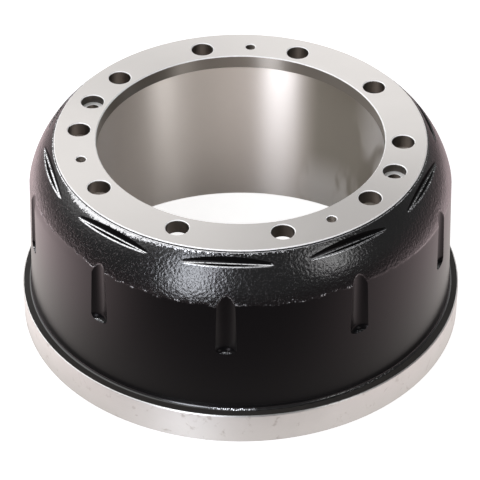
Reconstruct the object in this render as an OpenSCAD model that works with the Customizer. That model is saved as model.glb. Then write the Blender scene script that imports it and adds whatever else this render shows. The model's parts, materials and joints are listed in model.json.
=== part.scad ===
// Commercial vehicle brake drum: one iron casting, turned on its mounting face, its braking
// surface and its rim band. Z = 0 is the mouth that the drum stands on; the mounting face is
// on top. All sizes are in millimetres.

/* [Overall] */
// Height from the mouth to the mounting face
overall_h = 227; // [215:1:245]

/* [Mounting flange] */
// Height that the mounting face stands above the cast shoulder
face_step = 2.5; // [1.5:0.5:4]
// Thickness of the flange
flange_t = 15; // [11:0.5:20]
// Bore that centres the drum on its hub
pilot_d = 298; // [270:1:320]
// Metal between that bore and a wheel stud hole
pilot_web = 6.75; // [5:0.25:20]
// Metal between a wheel stud hole and the edge of the turned mounting face
face_web = 13.25; // [8:0.25:18]
// Chamfer along the edges of the bore and the mounting face
edge_chamfer = 1; // [0.5:0.1:1.5]

/* [Holes in the flange] */
// Number of wheel studs, and of the pockets and flutes between them
stud_count = 10; // [8:1:10]
// Wheel stud hole
stud_hole_d = 23.5; // [20:0.5:26]
// Hole for the shank of a retaining screw
retaining_hole_d = 13.5; // [9:0.5:15]
// Counterbore for the head of a retaining screw
retaining_head_d = 24; // [19:0.5:26]
// Depth of that counterbore
retaining_head_depth = 9; // [6:0.5:10]
// Core diameter of a tapped hole for a jacking screw
jacking_core_d = 10.2; // [6.8:0.1:14]
// Chamfer at the mouth of each hole
hole_chamfer = 0.8; // [0.3:0.1:1.2]

/* [Shoulder] */
// Radius of the cast shoulder
shoulder_r = 98; // [90:1:105]
// Width of the cast ledge round the mounting face, where the shoulder begins
ledge_w = 1.5; // [1.25:0.25:4]
// Allowance that turning took off the side of the casting
turning_allowance = 2; // [1:0.25:3]
// Wall thickness round the shoulder
shoulder_wall = 16; // [13:0.5:18]
// Fillet under the flange, inside the shoulder
shoulder_fillet = 8; // [4:0.5:12]

/* [Body] */
// Diameter of the body where it meets the rim
body_d = 448.5; // [430:0.5:470]
// Wall from there to the braking surface
drum_wall = 19.25; // [14:0.25:24]
// Draft of the body, in degrees
body_draft = 2; // [1:0.25:2.5]
// Depth of the run-out groove at the end of the braking surface
groove_depth = 1.5; // [0.5:0.25:2.5]
// Width of that groove
groove_w = 6; // [3:0.5:10]
// Height of the groove's centre above the level where the shoulder begins to turn in
groove_rise = 22.5; // [10:0.5:26]

/* [Rim] */
// Reach of the rim beyond the body
rim_reach = 9.75; // [7:0.25:14]
// Height of the turned band round the rim
band_h = 33; // [26:1:42]
// Rounding between that band and the top of the rim
rim_edge_r = 1.5; // [0.5:0.25:3]
// Fall of the top of the rim, in degrees
rim_fall = 6; // [2:1:10]
// Fillet between the rim and the body
rim_fillet = 3; // [2:0.5:6]
// Wall of the lip below the rim
lip_wall = 12.5; // [9:0.5:15]
// Height of that lip
lip_h = 14.5; // [8:0.5:20]
// Fillet between the lip and the underside of the rim
lip_fillet = 2; // [1:0.5:4]
// Chamfer round the mouth, inside and outside
mouth_chamfer = 1.5; // [0.5:0.25:3]

/* [Pockets in the shoulder] */
// Gap between the mounting face and the middle of a pocket's flat wall
pocket_gap = 3.5; // [2:0.5:6]
// Depth of a pocket's floor below the mounting face
pocket_drop = 12.5; // [10:0.5:14]
// Fillet between the wall and the floor of a pocket
pocket_fillet = 2.5; // [1:0.25:3]
// Rounding along the outer lip of a pocket's floor
pocket_lip_r = 2; // [0.5:0.25:3]

/* [Flutes in the body] */
// Depth of a flute at its lower end
flute_depth = 5.75; // [4:0.25:7.5]
// Radius of a flute's hollow
flute_r = 13.5; // [9:0.5:15]
// Rounding at the lower end of a flute
flute_end_r = 6; // [3:0.5:8]
// Depth of a flute's lower end below the mounting face
flute_drop = 107; // [95:1:120]

/* [Hidden] */
$fn = 180;

// Overshoot of a cut beyond the surface that it opens
over = 5;
// Lap of a fillet into the metal that it joins
lap = 1;

// Circle that every hole in the flange lies on
hole_pcd = pilot_d + 2 * pilot_web + stud_hole_d;
face_r = (hole_pcd + stud_hole_d) / 2 + face_web;
brake_r = body_d / 2 - drum_wall;
rim_r = body_d / 2 + rim_reach;
lip_r = brake_r + lip_wall;
// Room that reaches past the casting on every side
far = 2 * rim_r;
flange_z = overall_h - flange_t;
step_z = overall_h - face_step;
// Level of the rim's upper corner before it is rounded
rim_top_z = lip_h + band_h + rim_edge_r;

// Angle from one stud to the next
stud_pitch = 360 / stud_count;
// Gaps between studs that hold the retaining screws and the jacking holes. Gap 0 lies
// between the last stud and the first.
retaining_gaps = [0, floor(stud_count / 2)];
jacking_gaps = [round(stud_count * 0.3), round(stud_count * 0.6), stud_count - 1];

// Radius of the turned body at height z
function body_r(z) = body_d / 2 - (z - rim_top_z) * tan(body_draft);

// The shoulder's arc begins at the edge of the ledge and runs tangent into the cast side,
// which stands the turning allowance outside the body. The ledge lies this far out from
// where the arc's centre would be at its level.
ledge_reach = face_r + ledge_w + shoulder_r / cos(body_draft)
    - body_r(step_z) - turning_allowance;
shoulder_drop = cos(body_draft) * (sin(body_draft) * ledge_reach
    + sqrt(pow(shoulder_r / cos(body_draft), 2) - pow(ledge_reach, 2)) * cos(body_draft));
shoulder_c = [
    face_r + ledge_w - ledge_reach + shoulder_drop * tan(body_draft),
    step_z - shoulder_drop
];

// Corner where the body meets the top of the rim
rim_rise = rim_reach * tan(rim_fall) / (1 - tan(body_draft) * tan(rim_fall));
rim_corner = [body_r(rim_top_z + rim_rise), rim_top_z + rim_rise];

// Distances of a pocket's flat wall and of a flute's floor from the axis
pocket_wall_x = face_r + pocket_gap;
flute_floor_x = body_r(overall_h - flute_drop) - flute_depth;

function unit(v) = v / norm(v);

// The sliver between a corner and a rounding of radius r. Directions a and b run along the
// two edges away from the corner. It fills a hollow corner, or is cut from a sharp one, and
// laps over both edges.
module corner_sliver(corner, a, b, r) {
    half = acos(unit(a) * unit(b)) / 2;
    centre = corner + unit(unit(a) + unit(b)) * r / sin(half);
    reach = 1 + lap / r;
    difference() {
        polygon([
            centre,
            centre + (corner + unit(a) * r / tan(half) - centre) * reach,
            centre + (corner - centre) * reach,
            centre + (corner + unit(b) * r / tan(half) - centre) * reach
        ]);
        translate(centre) circle(r);
    }
}

// The sliver between a rounding of radius r and the corner where a level line meets an arc
// of radius big about centre c, on the arc's outer side.
module arc_sliver(c, big, level, r) {
    rise = level - r - c[1];
    centre = [c[0] + sqrt((big - r) * (big - r) - rise * rise), level - r];
    touch = c + (centre - c) * big / (big - r);
    difference() {
        polygon([
            centre,
            [centre[0], level + over],
            [far, level + over],
            [far, touch[1]],
            touch
        ]);
        translate(centre) circle(r);
    }
}

// Everything below the shoulder where it is rounded to radius r, up to the level top
module shoulder_outline(r, top) {
    intersection() {
        union() {
            translate(shoulder_c) circle(r);
            square([shoulder_c[0], top]);
            square([far, shoulder_c[1]]);
        }
        square([far, top]);
    }
}

// Turned outside of the body: a cone with the casting draft
module body_cone() {
    polygon([
        [0, lip_h],
        [body_r(lip_h), lip_h],
        [body_r(overall_h), overall_h],
        [0, overall_h]
    ]);
}

// Round disc whose top carries the mounting face
module face_disc() {
    polygon([
        [0, flange_z],
        [face_r, flange_z],
        [face_r, overall_h - edge_chamfer],
        [face_r - edge_chamfer, overall_h],
        [0, overall_h]
    ]);
}

module face_outline() {
    face_disc();
    corner_sliver([face_r, step_z], [0, 1], [1, 0], face_step / 2);
}

module rim_outline() {
    slope = [-cos(rim_fall), sin(rim_fall)];
    difference() {
        polygon([
            [0, lip_h],
            [rim_r - edge_chamfer, lip_h],
            [rim_r, lip_h + edge_chamfer],
            [rim_r, rim_top_z],
            rim_corner,
            [0, rim_corner[1]]
        ]);
        corner_sliver([rim_r, rim_top_z], [0, -1], slope, rim_edge_r);
    }
    corner_sliver(rim_corner, [-sin(body_draft), cos(body_draft)], -slope, rim_fillet);
}

// Lip below the rim, with a chamfer at the mouth and a fillet up to the rim
module lip_outline() {
    fillet_c = [lip_r + lip_fillet, lip_h - lip_fillet];
    difference() {
        polygon([
            [0, 0],
            [lip_r - mouth_chamfer, 0],
            [lip_r, mouth_chamfer],
            [lip_r, fillet_c[1]],
            fillet_c,
            [fillet_c[0], lip_h + over],
            [0, lip_h + over]
        ]);
        translate(fillet_c) circle(lip_fillet);
    }
}

// Half section of the outside, from the mouth up to the mounting face
module outer_outline() {
    intersection() {
        shoulder_outline(shoulder_r, step_z);
        body_cone();
    }
    face_outline();
    rim_outline();
    lip_outline();
}

// Half section of the hollow: the inside of the shoulder, which keeps an even wall, and the
// braking surface, turned into the shoulder as far as its run-out groove
module cavity_outline() {
    inner_r = shoulder_r - shoulder_wall;
    groove_z = shoulder_c[1] + groove_rise;
    difference() {
        intersection() {
            shoulder_outline(inner_r, flange_z);
            square([brake_r, far]);
        }
        arc_sliver(shoulder_c, inner_r, flange_z, shoulder_fillet);
    }
    square([brake_r, groove_z]);
    translate([0, groove_z - groove_w / 2])
        square([brake_r + groove_depth, groove_w]);
    polygon([
        [0, -over],
        [brake_r + mouth_chamfer + over, -over],
        [brake_r, mouth_chamfer],
        [0, mouth_chamfer]
    ]);
}

// Half section of the pilot bore with a chamfer at each end
module pilot_outline() {
    r = pilot_d / 2;
    flare = r + edge_chamfer + over;
    square([r, far]);
    polygon([
        [0, overall_h - edge_chamfer],
        [r, overall_h - edge_chamfer],
        [flare, overall_h + over],
        [0, overall_h + over]
    ]);
    polygon([
        [0, flange_z + edge_chamfer],
        [r, flange_z + edge_chamfer],
        [flare, flange_z - over],
        [0, flange_z - over]
    ]);
}

module turned_casting() {
    rotate_extrude()
        difference() {
            outer_outline();
            cavity_outline();
            pilot_outline();
        }
}

// Drill for one hole of diameter d through the flange, with a chamfer at the mounting face
module drill(d) {
    r = d / 2;
    translate([0, 0, flange_z - over]) cylinder(h = flange_t + 2 * over, r = r);
    translate([0, 0, overall_h - hole_chamfer])
        cylinder(h = hole_chamfer + over, r1 = r, r2 = r + hole_chamfer + over);
}

module stud_hole() {
    drill(stud_hole_d);
}

module retaining_hole() {
    drill(retaining_hole_d);
    intersection() {
        drill(retaining_head_d);
        translate([0, 0, overall_h - retaining_head_depth])
            cylinder(h = far, d = 2 * retaining_head_d);
    }
}

module jacking_hole() {
    drill(jacking_core_d);
}

module on_hole_circle() {
    translate([hole_pcd / 2, 0]) children();
}

// Turned to the middle of a gap between two studs
module in_stud_gap(gap) {
    rotate((gap - 0.5) * stud_pitch) children();
}

module flange_holes() {
    for (i = [0 : stud_count - 1]) rotate(i * stud_pitch) on_hole_circle() stud_hole();
    for (gap = retaining_gaps) in_stud_gap(gap) on_hole_circle() retaining_hole();
    for (gap = jacking_gaps) in_stud_gap(gap) on_hole_circle() jacking_hole();
}

// Clearance pocket: a flat wall and a level floor cut into the shoulder, with a fillet
// between them and a rounded outer lip
module pocket() {
    floor_z = overall_h - pocket_drop;
    length = face_r;
    rotate([90, 0, 0])
        linear_extrude(length, center = true)
            difference() {
                translate([pocket_wall_x, floor_z]) square([far, pocket_drop + over]);
                corner_sliver([pocket_wall_x, floor_z], [0, 1], [1, 0], pocket_fillet);
            }
    intersection() {
        rotate_extrude() arc_sliver(shoulder_c, shoulder_r, floor_z, pocket_lip_r);
        translate([pocket_wall_x + pocket_fillet, -length / 2, 0])
            cube([far, length, overall_h]);
    }
}

// Upright flute: a bull-nosed hollow that runs out through the shoulder at its top
module flute() {
    translate([flute_floor_x + flute_r, 0, overall_h - flute_drop])
        rotate_extrude() {
            translate([0, flute_end_r]) square([flute_r, flute_drop]);
            square([flute_r - flute_end_r, flute_drop]);
            translate([flute_r - flute_end_r, flute_end_r])
                intersection() {
                    circle(flute_end_r);
                    translate([0, -far]) square(2 * far);
                }
        }
}

module brake_drum() {
    color("#3a3b3e")
        difference() {
            turned_casting();
            flange_holes();
            for (gap = [0 : stud_count - 1]) in_stud_gap(gap) {
                pocket();
                flute();
            }
        }
}

brake_drum();
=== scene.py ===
"""Commercial vehicle brake drum: a painted iron casting with turned faces, on a pale floor."""

import json
import math

import bmesh
import bpy
from bpy.props import FloatProperty, FloatVectorProperty, PointerProperty
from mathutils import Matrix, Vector


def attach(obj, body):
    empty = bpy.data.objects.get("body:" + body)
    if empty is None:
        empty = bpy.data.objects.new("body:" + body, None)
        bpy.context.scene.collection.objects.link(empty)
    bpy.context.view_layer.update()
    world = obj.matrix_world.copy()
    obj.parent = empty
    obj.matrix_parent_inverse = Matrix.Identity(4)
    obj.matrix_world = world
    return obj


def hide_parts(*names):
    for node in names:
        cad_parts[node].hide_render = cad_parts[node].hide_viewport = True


bl_info = {
    "name": "Brake drum",
    "version": (1, 0, 0),
    "blender": (4, 5, 0),
    "location": "3D View > Sidebar > Drum",
    "description": "Dresses a brake drum casting in its paint and turned iron",
    "category": "Object",
}

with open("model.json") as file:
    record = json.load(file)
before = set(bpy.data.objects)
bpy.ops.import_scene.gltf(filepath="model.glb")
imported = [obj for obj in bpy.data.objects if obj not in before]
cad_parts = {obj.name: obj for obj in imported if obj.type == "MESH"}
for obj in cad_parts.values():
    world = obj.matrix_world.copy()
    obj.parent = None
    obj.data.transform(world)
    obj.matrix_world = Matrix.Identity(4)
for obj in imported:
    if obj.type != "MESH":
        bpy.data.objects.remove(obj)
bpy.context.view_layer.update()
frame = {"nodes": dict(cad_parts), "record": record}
DRUM = "brake_drum"
MM = 0.001

# Levels and radii of the casting, in millimetres, from its mounts
MOUNTS = {mount["name"]: mount for mount in frame["record"]["mounts"]}
TOP_Z = MOUNTS["mounting_face"]["pos_m"][2] / MM
FLANGE_Z = MOUNTS["hub_face"]["pos_m"][2] / MM
PILOT_R = MOUNTS["pilot_bore"]["dims"]["r_mm"]
# Places of the jacking holes, and how far their walls reach from their middles
TAPPED = [
    (Vector(mount["pos_m"]) / MM, mount["dims"]["r_mm"] + 0.2)
    for mount in MOUNTS.values() if mount["kind"] == "threaded_hole"
]

# Other levels, radii and sizes, as the solid has them
LIP_Z = 14.5
LIP_R = 217.5
RIM_CORNER_Z = 49.0
FACE_R = 192.5
FACE_STEP = 2.5
LEDGE_R = 194.0
GROOVE_R = 206.5
BRAKE_TOP_Z = 181.0
HEAD_Z = 218.0
POCKET_Z = 214.5
POCKET_FILLET = 2.5
FLUTE_Z = 120.0
CHAMFER = 1.0
DRAFT = math.radians(2.0)
# Radii that lie just inside the rim's band, the pockets and the flutes
INSIDE_BAND_R = 233.3
INSIDE_POCKET_R = 190.0
INSIDE_FLUTE_R = 212.12
# The M12 thread of the jacking holes, which the solid leaves plain
THREAD_PITCH = 1.75
THREAD_DEPTH = 0.95

# Arcs of the section: radius and height of the centre, and the arc's own radius, which is
# negative for a hollow arc
SHOULDER = (124.473, 155.435, 98.0)
POCKET_LIP = (201.671, 212.5, 2.0)
RIM_EDGE = (232.5, 47.65, 1.5)
RIM_FILLET = (227.12, 52.74, -3.0)
# Slopes of the section: radius and height of a point, and the angle at which they face up
RIM_SLOPE = (226.81, 49.76, math.radians(84.0))
BODY_SLOPE = (224.12, 52.63, DRAFT)

# How far a corner may lie off an arc or slope that it is on, in millimetres
ON_SECTION = 0.03
# How near a face is to a level that it lies in, in millimetres, and how squarely it faces up
ON_LEVEL = 0.01
FACES_UP = 0.99

# The casting's finishes, in the order of its material slots
PAINT, FACE, BORE, BAND, PILOT, DRILLED, RIM_TOP, CUT, EDGE, SPOT_FACE, THREAD = range(11)

# Settings that many shader nodes share
PLUS = {"operation": "ADD"}
MINUS = {"operation": "SUBTRACT"}
TIMES = {"operation": "MULTIPLY"}
TIMES_PLUS = {"operation": "MULTIPLY_ADD"}
LARGER = {"operation": "MAXIMUM"}
LENGTH = {"operation": "LENGTH"}
SOFT = {"interpolation_type": "SMOOTHSTEP"}
COLOUR = {"data_type": "RGBA"}


def linear(hex_colour):
    """The linear RGBA of an sRGB colour written as #rrggbb."""
    parts = [int(hex_colour[i:i + 2], 16) / 255 for i in (1, 3, 5)]
    return tuple(
        p / 12.92 if p <= 0.04045 else ((p + 0.055) / 1.055) ** 2.4 for p in parts
    ) + (1.0,)


def add(tree, kind, settings=None, values=None, links=None):
    """One shader node: its settings, its sockets' values and its links from other sockets."""
    node = tree.nodes.new("ShaderNode" + kind)
    for name, value in (settings or {}).items():
        setattr(node, name, value)
    for name, value in (values or {}).items():
        node.inputs[name].default_value = value
    for name, source in (links or {}).items():
        tree.links.new(source, node.inputs[name])
    return node


def span(start, end, least=0.0, most=1.0):
    """Values that map the millimetres from start to end to the range from least to most."""
    return {"From Min": start * MM, "From Max": end * MM, "To Min": least, "To Max": most}


def steps(start, end, least=0.0, most=1.0):
    """Values that map plain numbers from start to end to the range from least to most."""
    return {"From Min": start, "From Max": end, "To Min": least, "To Max": most}


def specks(size, detail, roughness=0.5, distortion=0.0):
    """Values of a noise whose specks are of a size in millimetres."""
    return {"Scale": 1 / (size * MM), "Detail": detail, "Roughness": roughness,
            "Distortion": distortion}


def material(name):
    """An empty node material: the material, its node tree and the socket of its surface."""
    made = bpy.data.materials.new(name)
    made.use_nodes = True
    tree = made.node_tree
    tree.nodes.clear()
    return made, tree, add(tree, "OutputMaterial").inputs["Surface"]


def places(tree):
    """Where a point of a piece is, as a vector and as X, Y and Z."""
    place = add(tree, "TexCoord").outputs["Object"]
    return place, add(tree, "SeparateXYZ", links={"Vector": place}).outputs


def from_axis(tree, part):
    """How far a point lies from the drum's axis."""
    flat = add(tree, "CombineXYZ", links={"X": part["X"], "Y": part["Y"]})
    return add(tree, "VectorMath", LENGTH, links={0: flat.outputs["Vector"]}).outputs["Value"]


def turned_iron(name, dark, light, roughness, grain, pitch, cloud, depth=0.01, stains_and_shade=None):
    """Grey iron cut by a tool that ran round the axis. The marks of the tool stretch each
    highlight across them, as far as the grain says, over clouds of a slightly lighter tone.
    A real feed of 0.1 to 0.3 mm is too fine to show, so the pitch, in mm, is coarser."""
    made, tree, surface = material(name)
    place, part = places(tree)
    # Radius and height together advance across the marks on a face and on a wall alike
    across = add(tree, "Math", PLUS, links={0: from_axis(tree, part), 1: part["Z"]})
    groove = add(tree, "TexNoise", {"noise_dimensions": "1D"}, specks(pitch, 3.0, 0.7),
                 {"W": across.outputs["Value"]}).outputs["Fac"]
    clouds = add(tree, "TexNoise", values=specks(cloud, 4.0, 0.6), links={"Vector": place})
    tone = add(tree, "Mix", COLOUR, {"A": linear(dark), "B": linear(light)},
               {"Factor": clouds.outputs["Fac"]}).outputs["Result"]
    # Real smudges, painted shade and painted reflections are laid over the tone here, as each
    # material asks
    if stains_and_shade:
        tone = stains_and_shade(tree, part, tone)
    rough = add(tree, "MapRange", values=steps(0.3, 0.7, roughness - 0.04, roughness + 0.04),
                links={"Value": groove})
    bump = add(tree, "Bump", values={"Strength": 0.5, "Distance": depth * MM},
               links={"Height": groove})
    around = add(tree, "Tangent", {"direction_type": "RADIAL", "axis": "Z"})
    shader = add(tree, "BsdfPrincipled", values={
        "Metallic": 1.0, "Anisotropic": grain, "Anisotropic Rotation": 0.25}, links={
        "Base Color": tone, "Roughness": rough.outputs["Result"],
        "Normal": bump.outputs["Normal"], "Tangent": around.outputs["Tangent"]})
    tree.links.new(shader.outputs["BSDF"], surface)
    return made


def painted_front_shade(tree, part, tone):
    """Painted shade that darkens the face of the drum more and more towards its front."""
    front = add(tree, "MapRange", values=span(190, -190), links={"Value": part["Y"]})
    return add(tree, "Mix", {**COLOUR, "blend_type": "MULTIPLY"}, {"B": linear("#e1e1e1")}, {
        "Factor": front.outputs["Result"], "A": tone}).outputs["Result"]


def smudged(tree, part, tone):
    """Faint brown smudges of handling, a centimetre or two long."""
    place = add(tree, "CombineXYZ", links={axis: part[axis] for axis in "XYZ"})
    dirt = add(tree, "TexNoise", values=specks(16, 5.0, 0.65, 0.8),
               links={"Vector": place.outputs["Vector"]})
    spots = add(tree, "MapRange", SOFT, steps(0.57, 0.72, 0.0, 0.45),
                {"Value": dirt.outputs["Fac"]})
    return add(tree, "Mix", COLOUR, {"B": linear("#8d8379")}, {
        "Factor": spots.outputs["Result"], "A": tone}).outputs["Result"]


def painted_bore_shade_and_reflections(tree, part, tone):
    """Painted shade over the right side of the bore, with cloudy upright strokes of painted
    reflection in it far round and near the mouth."""
    upright = add(tree, "Math", TIMES, {1: 0.4}, {0: part["Z"]})
    along = add(tree, "CombineXYZ", links={
        "X": part["X"], "Y": part["Y"], "Z": upright.outputs["Value"]})
    strokes = add(tree, "TexNoise", values=specks(38, 2.0, 0.45, 0.6),
                  links={"Vector": along.outputs["Vector"]})
    # The strokes are painted reflections, lighter where this noise is high
    painted_reflection = add(tree, "MapRange", SOFT, steps(0.42, 0.57), {"Value": strokes.outputs["Fac"]})
    far = add(tree, "MapRange", SOFT, span(110, 150), {"Value": part["X"]})
    low = add(tree, "MapRange", SOFT, span(80, 25, 0.0, 0.6), {"Value": part["Z"]})
    where = add(tree, "Math", LARGER, links={0: far.outputs["Result"], 1: low.outputs["Result"]})
    painted_reflection = add(tree, "Math", TIMES, links={
        0: painted_reflection.outputs["Result"], 1: where.outputs["Value"]})
    # Painted shade: a darker tone, lightened to white in the painted reflections
    shaded_tone = add(tree, "Mix", COLOUR, {"A": linear("#b0aca3"), "B": linear("#ffffff")},
               {"Factor": painted_reflection.outputs["Value"]})
    side = add(tree, "MapRange", SOFT, span(46, 78), {"Value": part["X"]})
    return add(tree, "Mix", COLOUR, links={
        "Factor": side.outputs["Result"], "A": tone, "B": shaded_tone.outputs["Result"]},
        ).outputs["Result"]


def faced_iron():
    """The mounting face and the flange's underside, faced with a fine feed: pale, with painted
    shade darkening it towards the front.
    """
    return turned_iron("fine_turned_grey_iron", "#dad6d3", "#e2dedb", roughness=0.34,
                       grain=0.6, pitch=0.6, cloud=60, stains_and_shade=painted_front_shade)


def bored_iron():
    """The braking surface, bored with a sharp tool: upright bands of light stand in it, with
    painted shade and painted reflections on its right side.
    """
    return turned_iron("bored_grey_iron", "#e4ded9", "#ece7e2", roughness=0.42,
                       grain=1.0, pitch=0.8, cloud=90, stains_and_shade=painted_bore_shade_and_reflections)


def band_iron():
    """The rim's band, turned more roughly and touched by hands: a soft silvery grey."""
    return turned_iron("turned_rim_iron", "#d6d6d4", "#e1e0df", roughness=0.42,
                       grain=0.7, pitch=0.7, cloud=25, stains_and_shade=smudged)


def pilot_iron():
    """The pilot bore, bored like the braking surface, in a darker tone: painted shade on its
    wall.
    """
    return turned_iron("bored_pilot_iron", "#88837d", "#948f89", roughness=0.42,
                       grain=1.0, pitch=0.8, cloud=90)


def drilled_iron():
    """The walls of the drilled holes, in a dark tone: painted shade inside the holes."""
    return turned_iron("drilled_grey_iron", "#504b47", "#5e5954", roughness=0.45,
                       grain=0.3, pitch=0.8, cloud=9, depth=0.02)


def spot_faced_iron():
    """Chamfers and counterbore floors, cut by a countersink: bright and without direction."""
    return turned_iron("spot_faced_iron", "#f2f0ee", "#ffffff", roughness=0.8,
                       grain=0.0, pitch=0.5, cloud=6)


def skin_of(tree, place, part, radius, sizes):
    """How far a point lies on the cast skin, and how far it lies outside the flutes."""
    # The edge of the skin wanders by a few millimetres
    wander = add(tree, "TexNoise", values=specks(14, 4.0, 0.6), links={"Vector": place})
    shift = add(tree, "Math", TIMES_PLUS, {1: 12 * MM, 2: -6 * MM}, {0: wander.outputs["Fac"]})
    level = add(tree, "Math", PLUS, links={0: part["Z"], 1: shift.outputs["Value"]})
    # The casting sat off centre in the lathe, so the skin reaches lower in front and on the right
    front = add(tree, "MapRange", values=span(-210, -150, 7 * MM, 0.0),
                links={"Value": part["Y"]})
    right = add(tree, "MapRange", SOFT, span(100, 210, 0.0, 12 * MM), {"Value": part["X"]})
    for lower in (front, right):
        level = add(tree, "Math", PLUS, links={
            0: level.outputs["Value"], 1: lower.outputs["Result"]})
    skinned = add(tree, "MapRange", SOFT, span(sizes.skin_level - 2, sizes.skin_level + 1.5),
                  {"Value": level.outputs["Value"]})
    # The flutes are cut through the shoulder, and have no skin
    section = add(tree, "CombineXYZ", links={"X": radius, "Z": part["Z"]})
    centred = add(tree, "VectorMath", MINUS, {1: (SHOULDER[0] * MM, 0.0, SHOULDER[1] * MM)},
                  {0: section.outputs["Vector"]})
    reach = add(tree, "VectorMath", LENGTH, links={0: centred.outputs["Vector"]})
    uncut = add(tree, "MapRange", values=span(SHOULDER[2] - 0.7, SHOULDER[2] - 0.3),
                links={"Value": reach.outputs["Value"]}).outputs["Result"]
    skin = add(tree, "Math", TIMES, links={0: skinned.outputs["Result"], 1: uncut})
    return skin.outputs["Value"], uncut


def ridge_of(tree, part, skin):
    """How far a point lies on the ridge in which the skin ends, and outside the skin."""
    below = add(tree, "Math", MINUS, {0: 1.0}, {1: skin}).outputs["Value"]
    ridge = add(tree, "Math", TIMES, links={0: skin, 1: below})
    # It is blunt on the right and at the back
    for axis, start, end, least in (("X", 155, 110, 0.0), ("Y", 60, -20, 0.35)):
        sharp = add(tree, "MapRange", SOFT, span(start, end, least), {"Value": part[axis]})
        ridge = add(tree, "Math", TIMES, links={
            0: ridge.outputs["Value"], 1: sharp.outputs["Result"]})
    return ridge.outputs["Value"], below


def facing_of(tree, part, radius, below, uncut):
    """The way the wall faces. Below the skin the turned cone goes on over what stood proud."""
    lean = add(tree, "Math", TIMES, {1: math.tan(DRAFT)}, {0: radius})
    cone = add(tree, "CombineXYZ", links={
        "X": part["X"], "Y": part["Y"], "Z": lean.outputs["Value"]})
    cone = add(tree, "VectorMath", {"operation": "NORMALIZE"},
               links={0: cone.outputs["Vector"]})
    high = add(tree, "MapRange", values=span(177, 178.5), links={"Value": part["Z"]})
    turned = add(tree, "Math", TIMES, links={0: below, 1: uncut})
    turned = add(tree, "Math", TIMES, links={
        0: turned.outputs["Value"], 1: high.outputs["Result"]})
    return add(tree, "Mix", {"data_type": "VECTOR"}, links={
        "Factor": turned.outputs["Value"], "A": add(tree, "NewGeometry").outputs["Normal"],
        "B": cone.outputs["Vector"]}).outputs["Result"]


def gloss_of(tree, part, skin):
    """How much of the clear gloss lies on the paint: on the skin and pooled above the rim."""
    pooled = add(tree, "MapRange", SOFT, span(57, 53, 0.05), {"Value": part["Z"]})
    # The skin is too coarse to mirror at a glancing look
    glance = add(tree, "LayerWeight", values={"Blend": 0.5})
    square = add(tree, "MapRange", SOFT, steps(0.5, 0.95, 1.0, 0.1),
                 {"Value": glance.outputs["Facing"]})
    gloss = add(tree, "Math", TIMES, links={0: skin, 1: square.outputs["Result"]})
    return add(tree, "Math", LARGER, links={
        0: gloss.outputs["Value"], 1: pooled.outputs["Result"]}).outputs["Value"]


def bare_highlight_of(tree, part, wrinkle, sand, ridge, kept):
    """How far the paint is shown as bright bare iron, laid where the light falls: painted
    highlight.
    """
    # A strip beside the turned face is bare, most on the left and in front where the light falls:
    # painted highlight
    rise = add(tree, "MapRange", values=span(216, 224, -0.38, 0.25), links={"Value": part["Z"]})
    for axis, start, end, less in (("X", -130, -70, -0.16), ("X", -40, 10, -0.09),
                                   ("X", 60, 140, -0.3), ("Y", -125, -80, -0.35)):
        less_lit = add(tree, "MapRange", values=span(start, end, 0.0, less),
                     links={"Value": part[axis]})
        rise = add(tree, "Math", PLUS, links={0: rise.outputs[0], 1: less_lit.outputs["Result"]})
    grit = add(tree, "Math", PLUS, links={0: wrinkle, 1: sand})
    grit = add(tree, "Math", TIMES_PLUS, {1: 0.5}, {
        0: grit.outputs["Value"], 2: rise.outputs["Value"]})
    strip_highlight = add(tree, "MapRange", SOFT, steps(0.52, 0.58), {"Value": grit.outputs["Value"]})
    # Bare specks here and there along the ridge at the skin's lower edge: painted glints
    ridge_glints = add(tree, "MapRange", values=steps(0.12, 0.22, 0.0, 0.3), links={"Value": ridge})
    bits = add(tree, "MapRange", values=steps(0.48, 0.56), links={"Value": sand})
    for mask in (kept, bits.outputs["Result"]):
        ridge_glints = add(tree, "Math", TIMES, links={0: ridge_glints.outputs[0], 1: mask})
    # A few bare specks on the fillet above the rim in front: painted glints
    fillet_glints = add(tree, "MapRange", values=steps(0.46, 0.52), links={"Value": sand})
    for axis, start, end in (("Z", 51.6, 51.0), ("Z", 49.9, 50.3), ("Y", -215, -220),
                             ("X", -20, -8), ("X", 32, 20)):
        within = add(tree, "MapRange", values=span(start, end), links={"Value": part[axis]})
        fillet_glints = add(tree, "Math", TIMES, links={
            0: fillet_glints.outputs[0], 1: within.outputs["Result"]})
    ridge_glints = add(tree, "Math", PLUS, links={0: ridge_glints.outputs["Value"], 1: fillet_glints.outputs["Value"]})
    return add(tree, "Math", {**LARGER, "use_clamp": True}, links={
        0: strip_highlight.outputs["Result"], 1: ridge_glints.outputs["Value"]}).outputs["Value"]


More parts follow.
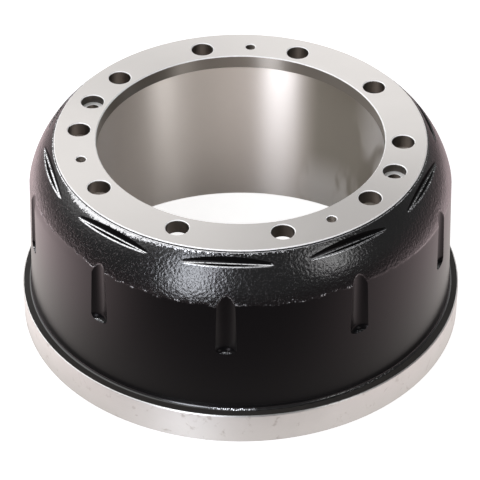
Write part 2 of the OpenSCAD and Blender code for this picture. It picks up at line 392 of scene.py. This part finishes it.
def painted_iron(sizes):
    """Sand-cast iron under sprayed black enamel. Where the skin was left as cast, its wrinkles
    and sand nibs break the light into glints; where it was turned, the paint is satin."""
    made, tree, surface = material("painted_cast_iron")
    place, part = places(tree)
    radius = from_axis(tree, part)
    skin, uncut = skin_of(tree, place, part, radius, sizes)
    ridge, below = ridge_of(tree, part, skin)
    wrinkle = add(tree, "TexNoise", values=specks(sizes.wrinkle, 3.0, 0.55, 0.4),
                  links={"Vector": place}).outputs["Fac"]
    grain = add(tree, "TexVoronoi", {"feature": "SMOOTH_F1"}, {
        "Scale": 1 / (2.8 * MM), "Smoothness": 0.4}, {"Vector": place})
    relief = add(tree, "Math", TIMES_PLUS, {1: 0.35}, {
        0: grain.outputs["Distance"], 2: wrinkle})
    # Sand burnt on to one side of the casting stands out of the paint as fine nibs
    sand = add(tree, "TexNoise", values=specks(1.5, 1.0), links={"Vector": place}).outputs["Fac"]
    nibs = add(tree, "MapRange", SOFT, steps(0.64, 0.71, 0.0, 0.8), {"Value": sand})
    left = add(tree, "MapRange", SOFT, span(90, 20), {"Value": part["X"]})
    relief = add(tree, "Math", TIMES_PLUS, links={
        0: nibs.outputs["Result"], 1: left.outputs["Result"], 2: relief.outputs["Value"]})
    # The middle of the relief is level with the turned wall
    relief = add(tree, "Math", MINUS, {1: 0.66}, {0: relief.outputs["Value"]})
    relief = add(tree, "Math", TIMES, links={0: relief.outputs["Value"], 1: skin})
    # The ridge is broken: it was kept only here and there
    breaks = add(tree, "TexNoise", values=specks(9, 3.0, 0.7), links={"Vector": place})
    kept = add(tree, "MapRange", values=steps(0.5, 0.62, 0.0, 3.0),
               links={"Value": breaks.outputs["Fac"]}).outputs["Result"]
    height = add(tree, "Math", TIMES_PLUS, links={0: ridge, 1: kept, 2: relief.outputs["Value"]})
    bump = add(tree, "Bump", values={"Strength": 1.0, "Distance": sizes.wrinkle_depth * MM},
               links={"Height": height.outputs["Value"],
                      "Normal": facing_of(tree, part, radius, below, uncut)}).outputs["Normal"]
    # Bare iron laid where the light falls: painted highlights and glints
    bare_highlight = bare_highlight_of(tree, part, wrinkle, sand, ridge, kept)
    tone = add(tree, "Mix", COLOUR, {"A": tuple(sizes.paint) + (1.0,), "B": linear("#dcdcde")},
               {"Factor": bare_highlight})
    shader = add(tree, "BsdfPrincipled", values={
        "Specular Tint": linear("#484040"), "Roughness": 0.32,
        "Coat IOR": 1.62, "Coat Roughness": 0.18}, links={
        "Base Color": tone.outputs["Result"], "Metallic": bare_highlight, "Normal": bump,
        "Coat Weight": gloss_of(tree, part, skin), "Coat Normal": bump})
    tree.links.new(shader.outputs["BSDF"], surface)
    return made


def cloudy_paint(name, dark, light, cloud, finish):
    """Sprayed black enamel whose tone changes in clouds of a size in millimetres."""
    made, tree, surface = material(name)
    clouds = add(tree, "TexNoise", values=specks(cloud, 4.0, 0.6),
                 links={"Vector": places(tree)[0]})
    tone = add(tree, "Mix", COLOUR, {"A": linear(dark), "B": linear(light)},
               {"Factor": clouds.outputs["Fac"]})
    shader = add(tree, "BsdfPrincipled", values=finish, links={
        "Base Color": tone.outputs["Result"]})
    tree.links.new(shader.outputs["BSDF"], surface)
    return made


def rim_paint():
    """The top of the rim, left coarse under thin paint on which dust lies: a dull dark grey."""
    return cloudy_paint("painted_rim_iron", "#282625", "#3a3734", 30, {
        "Roughness": 0.5, "Specular Tint": linear("#404040")})


def pocket_paint():
    """The milled walls and floors of the pockets: a dead black with almost no shine, painted
    shade in these recesses.
    """
    return cloudy_paint("painted_cut_iron", "#040404", "#0b0a0a", 4, {
        "Roughness": 0.6, "Specular IOR Level": 0.05})


def bare_highlight_edge():
    """Lips of the pockets, the ledge and the flutes, shown as bare iron where the light falls on
    them: a painted highlight, a bright line broken on the right, lower down and at the back."""
    made, tree, surface = material("bare_highlight_iron_edge")
    place, part = places(tree)
    edge_highlight = add(tree, "TexNoise", values=specks(1.6, 2.0, 0.6), links={"Vector": place})
    for axis, start, end, less in (("X", 60, 150, -0.14), ("Z", 200, 150, -0.16),
                                   ("Y", -100, 20, -0.2)):
        less_lit = add(tree, "MapRange", values=span(start, end, 0.0, less),
                     links={"Value": part[axis]})
        edge_highlight = add(tree, "Math", PLUS, links={0: edge_highlight.outputs[0], 1: less_lit.outputs["Result"]})
    bare = add(tree, "MapRange", SOFT, steps(0.3, 0.46),
               {"Value": edge_highlight.outputs["Value"]}).outputs["Result"]
    tone = add(tree, "Mix", COLOUR, {"A": linear("#161617"), "B": linear("#d0d0d2")},
               {"Factor": bare})
    shader = add(tree, "BsdfPrincipled", values={"Roughness": 0.25}, links={
        "Base Color": tone.outputs["Result"], "Metallic": bare})
    tree.links.new(shader.outputs["BSDF"], surface)
    return made


def tapped_iron():
    """Grey iron tapped for a jacking screw, in a dark tone that is painted shade inside the hole:
    fine rings, with painted highlight on the crests of the thread and painted shade in its roots.
    """
    made, tree, surface = material("tapped_grey_iron")
    # Rings at the pitch look as the helix of the thread does. A wave node's scale of 1 puts
    # its bands 0.314 of a unit apart.
    rings = add(tree, "TexWave", {"bands_direction": "Z", "wave_profile": "TRI"}, {
        "Scale": 0.314 / (THREAD_PITCH * MM)}, {"Vector": places(tree)[0]}).outputs["Fac"]
    bump = add(tree, "Bump", values={"Strength": 1.0, "Distance": THREAD_DEPTH * MM},
               links={"Height": rings})
    # Painted highlight on the crests and painted shade in the roots of the thread
    crest = add(tree, "Mix", COLOUR, {"A": linear("#4a4541"), "B": linear("#8a837c")},
                {"Factor": rings})
    shader = add(tree, "BsdfPrincipled", values={"Metallic": 1.0, "Roughness": 0.4}, links={
        "Base Color": crest.outputs["Result"], "Normal": bump.outputs["Normal"]})
    tree.links.new(shader.outputs["BSDF"], surface)
    return made


def finish_of(face, mesh):
    """The finish that a face of the casting has, as its place among the material slots.
    Small numbers beside a level or a radius are margins, in millimetres."""
    middle = face.center / MM
    r = math.hypot(middle.x, middle.y)
    z = middle.z
    up = face.normal.z
    if z > TOP_Z - CHAMFER:
        return FACE if up > 0.95 else SPOT_FACE
    # The ledge beside the face takes the bright edge, a painted highlight, and its step the dead
    # black, painted shade
    if FACE_R - 1 < r < LEDGE_R + 0.1 and z > TOP_Z - FACE_STEP - 0.1:
        return EDGE if up > 0.8 else CUT
    if r < FACE_R and abs(z - HEAD_Z) < ON_LEVEL and up > FACES_UP:
        return SPOT_FACE
    if z > FLANGE_Z + 1 and any((middle - hole).to_2d().length < reach for hole, reach in TAPPED):
        return THREAD
    if r < GROOVE_R + 1 and z < BRAKE_TOP_Z + 0.5:
        return BORE
    if r < PILOT_R + 1.5 and z > FLANGE_Z - 0.5:
        return PILOT
    if r < FACE_R and z > FLANGE_Z + ON_LEVEL:
        return DRILLED
    if r < FACE_R and abs(z - FLANGE_Z) < ON_LEVEL:
        return FACE
    if r > INSIDE_BAND_R and z < RIM_CORNER_Z - 1 or r > LIP_R + 10 and z < LIP_Z + 2:
        return BAND
    if on_arc(face, mesh, RIM_EDGE):
        return BAND
    in_pocket = r > INSIDE_POCKET_R
    # Walls and floors of the pockets take the dead black, painted shade
    if in_pocket and POCKET_Z - 0.05 < z < TOP_Z - 4 and abs(up) < 0.02:
        return CUT
    if in_pocket and abs(z - POCKET_Z) < 0.02 and up > FACES_UP:
        return CUT
    # Pocket lips, the flutes' lower ends and the lower halves of the pocket corners take the
    # bright edge, a painted highlight
    if on_arc(face, mesh, POCKET_LIP):
        return EDGE
    if r > INSIDE_FLUTE_R and FLUTE_Z - 0.05 < z < FLUTE_Z + 0.7 and up > 0.9:
        return EDGE
    in_corner = in_pocket and POCKET_Z < z < POCKET_Z + POCKET_FILLET + 0.1
    if in_corner and not on_arc(face, mesh, SHOULDER):
        return EDGE if up > 0.45 else CUT
    if on_slope(face, mesh, RIM_SLOPE):
        return RIM_TOP
    if z < LIP_Z + ON_LEVEL:
        return FACE
    return PAINT


def on_arc(face, mesh, arc):
    """The normals of a face's corners where the face lies on a turned arc, or None."""
    normals = []
    for index in face.vertices:
        corner = mesh.vertices[index].co / MM
        r = math.hypot(corner.x, corner.y)
        across, up = r - arc[0], corner.z - arc[1]
        if abs(math.hypot(across, up) - abs(arc[2])) > ON_SECTION:
            return None
        normals.append(Vector((corner.x / r * across, corner.y / r * across, up)) / arc[2])
    return normals if faces_along(face, normals) else None


def on_slope(face, mesh, slope):
    """The normals of a face's corners where the face lies on a turned slope, or None."""
    out, rise = math.cos(slope[2]), math.sin(slope[2])
    normals = []
    for index in face.vertices:
        corner = mesh.vertices[index].co / MM
        r = math.hypot(corner.x, corner.y)
        if abs((r - slope[0]) * out + (corner.z - slope[1]) * rise) > ON_SECTION:
            return None
        normals.append(Vector((corner.x / r * out, corner.y / r * out, rise)))
    return normals if faces_along(face, normals) else None


def faces_along(face, normals):
    """Whether a face looks the way that the normals of its corners do."""
    return sum(normals, Vector()).normalized().dot(face.normal) > 0.95


def merged_copy(node):
    """A merged copy of a CAD node's mesh, smooth as it was and exact where it was turned."""
    mesh = node.data.copy()
    normals = [corner.vector.copy() for corner in mesh.corner_normals]
    shape = bmesh.new()
    shape.from_mesh(mesh)
    bmesh.ops.remove_doubles(shape, verts=shape.verts, dist=1e-6)
    shape.to_mesh(mesh)
    shape.free()
    if len(mesh.loops) != len(normals):
        raise RuntimeError("merging changed the faces of " + node.name)
    for face in mesh.polygons:
        exact = None
        for arc in (SHOULDER, POCKET_LIP, RIM_EDGE, RIM_FILLET):
            exact = exact or on_arc(face, mesh, arc)
        for slope in (RIM_SLOPE, BODY_SLOPE):
            exact = exact or on_slope(face, mesh, slope)
        if exact:
            for loop, normal in zip(face.loop_indices, exact):
                normals[loop] = normal
    mesh.normals_split_custom_set(normals)
    return mesh


class DrumSizes(bpy.types.PropertyGroup):
    """Sizes and colours of the casting's finish."""

    paint: FloatVectorProperty(
        name="Paint", description="Colour of the paint", subtype="COLOR",
        default=linear("#070708")[:3], min=0.0, max=1.0)
    skin_level: FloatProperty(
        name="Skin level", description="Height of the lower edge of the cast skin, in mm",
        default=187.0, min=170.0, max=200.0)
    wrinkle: FloatProperty(
        name="Wrinkle", description="Spacing of the wrinkles in the cast skin, in mm",
        default=3.2, min=1.0, max=20.0)
    wrinkle_depth: FloatProperty(
        name="Wrinkle depth", description="Depth of those wrinkles, in mm",
        default=0.36, min=0.1, max=5.0)


class StageSizes(bpy.types.PropertyGroup):
    """Floor and camera."""

    floor_width: FloatProperty(
        name="Floor width", description="Width of the floor", default=30.0, unit="LENGTH")
    lens: FloatProperty(
        name="Lens", description="Focal length of the camera", default=174.95,
        unit="CAMERA")


class DRUM_OT_casting(bpy.types.Operator):
    """Dresses the drum's casting: paint outside, turned iron where a lathe has cut it"""

    bl_idname = "drum.casting"
    bl_label = "Casting"

    def execute(self, context):
        finishes = {
            PAINT: painted_iron(context.scene.drum_sizes),
            FACE: faced_iron(),
            BORE: bored_iron(),
            BAND: band_iron(),
            PILOT: pilot_iron(),
            DRILLED: drilled_iron(),
            RIM_TOP: rim_paint(),
            CUT: pocket_paint(),
            EDGE: bare_highlight_edge(),
            SPOT_FACE: spot_faced_iron(),
            THREAD: tapped_iron(),
        }
        mesh = merged_copy(frame["nodes"][DRUM])
        mesh.name = "drum_casting"
        mesh.materials.clear()
        for place in sorted(finishes):
            mesh.materials.append(finishes[place])
        for face in mesh.polygons:
            face.material_index = finish_of(face, mesh)
        piece = bpy.data.objects.new("drum_casting", mesh)
        context.scene.collection.objects.link(piece)
        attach(piece, "root")
        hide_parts(DRUM)
        return {"FINISHED"}


# Tones of the floor that the drum mirrors, by place on the floor and never by the camera:
# the axis or the distance from the middle along which a tone changes, where it starts and
# ends, in mm, and its strength at both. The floor is dark in front and far out, and bright on
# the left and the right.
FLOOR_TONES = (
    ("Y", -420, -250, 0.4, 1.0),
    ("out", 180, 240, 1.25, 1.0),
    ("out", 450, 950, 1.0, 0.22),
    ("X", -400, -200, 2.0, 0.95),
    ("X", 150, 400, 1.0, 1.35),
)
# Radius of the floor that the rim shades, and how far the shade reaches, in mm
RIM_SHADE_R = 226
RIM_SHADE = (6, 24)
# Glow that brings the lit floor up to white, only where it is seen directly
FLOOR_GLOW = 0.78
# Direction of the stronger soft light, over the drum's left side
OVER_LEFT = (-0.55, 0.2, 0.81)


def floor_strength(tree, part, radius):
    """How strongly the drum mirrors a point of the floor."""
    strength = None
    for along, start, end, first, last in FLOOR_TONES:
        tone = add(tree, "MapRange", SOFT, span(start, end, first, last), {
            "Value": radius if along == "out" else part[along]}).outputs["Result"]
        strength = tone if strength is None else add(tree, "Math", TIMES, links={
            0: strength, 1: tone}).outputs["Value"]
    # Inside the mouth the back lies in shade, and the front catches the light
    back = add(tree, "MapRange", SOFT, span(-20, 120, 0.0, 0.8), {"Value": part["Y"]})
    front = add(tree, "MapRange", SOFT, span(-60, -130, 0.0, 1.2), {"Value": part["Y"]})
    shade = add(tree, "Math", MINUS, links={
        0: back.outputs["Result"], 1: front.outputs["Result"]})
    inside = add(tree, "MapRange", SOFT, span(220, 200), {"Value": radius})
    shade = add(tree, "Math", TIMES, links={
        0: shade.outputs["Value"], 1: inside.outputs["Result"]})
    mouth = add(tree, "Math", MINUS, {0: 1.0}, {1: shade.outputs["Value"]})
    # The floor lies in shade close under the rim
    gap = add(tree, "Math", MINUS, {1: RIM_SHADE_R * MM}, {0: radius})
    gap = add(tree, "Math", {"operation": "ABSOLUTE"}, links={0: gap.outputs["Value"]})
    rim = add(tree, "MapRange", SOFT, span(*RIM_SHADE, 0.35), {"Value": gap.outputs["Value"]})
    for factor in (mouth, rim):
        strength = add(tree, "Math", TIMES, links={
            0: strength, 1: factor.outputs[0]}).outputs["Value"]
    return strength


def seen_directly(tree):
    """The light path's outputs, and whether a ray shows the background as it is."""
    ray = add(tree, "LightPath").outputs
    seen = add(tree, "Math", LARGER, links={
        0: ray["Is Camera Ray"], 1: ray["Is Transmission Ray"]})
    return ray, seen.outputs["Value"]


def pale_floor():
    """Seamless studio paper: white to the eye, and rosier further out in the drum's mirror."""
    made, tree, surface = material("pale_floor")
    part = places(tree)[1]
    radius = from_axis(tree, part)
    ray, seen = seen_directly(tree)
    glow = add(tree, "Math", TIMES, {1: FLOOR_GLOW}, {0: seen})
    paper = add(tree, "BsdfPrincipled", values={
        "Base Color": linear("#dcdcdc"), "Roughness": 0.9, "Specular IOR Level": 0.0,
        "Emission Color": linear("#ffffff")}, links={"Emission Strength": glow.outputs["Value"]})
    rosy = add(tree, "MapRange", SOFT, span(280, 400), {"Value": radius})
    hue = add(tree, "Mix", COLOUR, {"A": linear("#fff7f3"), "B": linear("#ffe8eb")},
              {"Factor": rosy.outputs["Result"]})
    mirrored = add(tree, "Emission", links={
        "Color": hue.outputs["Result"], "Strength": floor_strength(tree, part, radius)})
    both = add(tree, "MixShader", links={
        0: ray["Is Glossy Ray"], 1: paper.outputs["BSDF"], 2: mirrored.outputs["Emission"]})
    tree.links.new(both.outputs["Shader"], surface)
    return made


def floor_piece(width):
    """The floor, a hair below the mouth that stands on it."""
    shape = bmesh.new()
    bmesh.ops.create_grid(shape, x_segments=1, y_segments=1, size=width / 2)
    bmesh.ops.translate(shape, verts=shape.verts, vec=(0.0, 0.0, -0.2 * MM))
    mesh = bpy.data.meshes.new("floor")
    shape.to_mesh(mesh)
    shape.free()
    mesh.materials.append(pale_floor())
    return bpy.data.objects.new("floor", mesh)


def studio_world():
    """A white backdrop. The drum mirrors a wide soft light above it, a stronger one over the
    drum's left side, and a dim studio elsewhere."""
    world = bpy.data.worlds.new("studio")
    world.use_nodes = True
    tree = world.node_tree
    tree.nodes.clear()
    ray, seen = seen_directly(tree)
    way = add(tree, "TexCoord").outputs["Generated"]
    part = add(tree, "SeparateXYZ", links={"Vector": way}).outputs
    wide = add(tree, "MapRange", SOFT, steps(0.4, 0.8, 0.0, 1.2), {"Value": part["Y"]})
    for start, end in ((0.18, 0.4), (0.7, 0.5)):
        fade = add(tree, "MapRange", SOFT, steps(start, end), {"Value": part["Z"]})
        wide = add(tree, "Math", TIMES, links={0: wide.outputs[0], 1: fade.outputs["Result"]})
    left = add(tree, "VectorMath", {"operation": "DOT_PRODUCT"}, {1: OVER_LEFT}, {0: way})
    strong = add(tree, "MapRange", SOFT, steps(0.62, 0.95, 0.2, 1.9),
                 {"Value": left.outputs["Value"]})
    both = add(tree, "Math", PLUS, links={0: wide.outputs["Value"], 1: strong.outputs["Result"]})
    studio = add(tree, "Mix", {"data_type": "FLOAT"}, {"A": 0.5}, {
        "Factor": ray["Is Glossy Ray"], "B": both.outputs["Value"]})
    level = add(tree, "Mix", {"data_type": "FLOAT"}, {"B": 1.0}, {
        "Factor": seen, "A": studio.outputs["Result"]})
    glow = add(tree, "Background", values={"Color": linear("#ffffff")},
               links={"Strength": level.outputs["Result"]})
    add(tree, "OutputWorld", links={"Surface": glow.outputs["Background"]})
    return world


def area_lamp(name, place, size, power, colour):
    """A rectangular lamp at a place, facing the middle of the drum."""
    data = bpy.data.lights.new(name, "AREA")
    data.shape = "RECTANGLE"
    data.size, data.size_y = size
    data.energy = power
    data.color = linear(colour)[:3]
    lamp = bpy.data.objects.new(name, data)
    lamp.location = place
    towards = Vector((0.0, 0.0, 0.15)) - Vector(place)
    lamp.rotation_euler = towards.to_track_quat("-Z", "Y").to_euler()
    return lamp


# The photograph's camera: its place in metres, its pitch down and its turn to the left, and
# the width of the picture in pixels
CAMERA_PLACE = (0.1268, -1.9613, 1.6154)
CAMERA_PITCH = 0.660
CAMERA_TURN = math.radians(3.7)
PICTURE = 480


def photo_camera(lens):
    """A camera where the photograph's stood, which was half a pixel off the frame's middle."""
    data = bpy.data.cameras.new("camera")
    data.sensor_width = 36.0
    data.lens = lens
    data.shift_x, data.shift_y = -0.5 / PICTURE, 0.5 / PICTURE
    camera = bpy.data.objects.new("camera", data)
    camera.location = CAMERA_PLACE
    look = Vector((
        -math.sin(CAMERA_TURN) * math.cos(CAMERA_PITCH),
        math.cos(CAMERA_TURN) * math.cos(CAMERA_PITCH),
        -math.sin(CAMERA_PITCH)))
    camera.rotation_euler = look.to_track_quat("-Z", "Y").to_euler()
    return camera


class DRUM_OT_stage(bpy.types.Operator):
    """Makes the floor, the studio light and the camera"""

    bl_idname = "drum.stage"
    bl_label = "Stage"

    def execute(self, context):
        scene = context.scene
        floor = floor_piece(scene.stage_sizes.floor_width)
        camera = photo_camera(scene.stage_sizes.lens)
        for made in (
            floor,
            area_lamp("key_lamp", (-0.62, -1.72, 0.85), (0.55, 1.5), 26, "#f2f6ff"),
            area_lamp("right_lamp", (1.3, -1.05, 1.0), (0.45, 0.9), 5.2, "#ffffff"),
            camera,
        ):
            scene.collection.objects.link(made)
        scene.world = studio_world()
        scene.camera = camera
        scene.view_settings.view_transform = "Standard"
        return {"FINISHED"}


class DRUM_PT_panel(bpy.types.Panel):
    """The drum's operators and sizes"""

    bl_idname = "DRUM_PT_panel"
    bl_label = "Brake drum"
    bl_space_type = "VIEW_3D"
    bl_region_type = "UI"
    bl_category = "Drum"

    def draw(self, context):
        for name in ("paint", "skin_level", "wrinkle", "wrinkle_depth"):
            self.layout.prop(context.scene.drum_sizes, name)
        self.layout.operator("drum.casting")
        for name in ("floor_width", "lens"):
            self.layout.prop(context.scene.stage_sizes, name)
        self.layout.operator("drum.stage")


CLASSES = (DrumSizes, StageSizes, DRUM_OT_casting, DRUM_OT_stage, DRUM_PT_panel)


def register():
    for each in CLASSES:
        bpy.utils.register_class(each)
    bpy.types.Scene.drum_sizes = PointerProperty(type=DrumSizes)
    bpy.types.Scene.stage_sizes = PointerProperty(type=StageSizes)


def unregister():
    del bpy.types.Scene.drum_sizes
    del bpy.types.Scene.stage_sizes
    for each in reversed(CLASSES):
        bpy.utils.unregister_class(each)


def main():
    register()
    bpy.ops.drum.casting()
    bpy.ops.drum.stage()


if __name__ == "__main__":
    main()
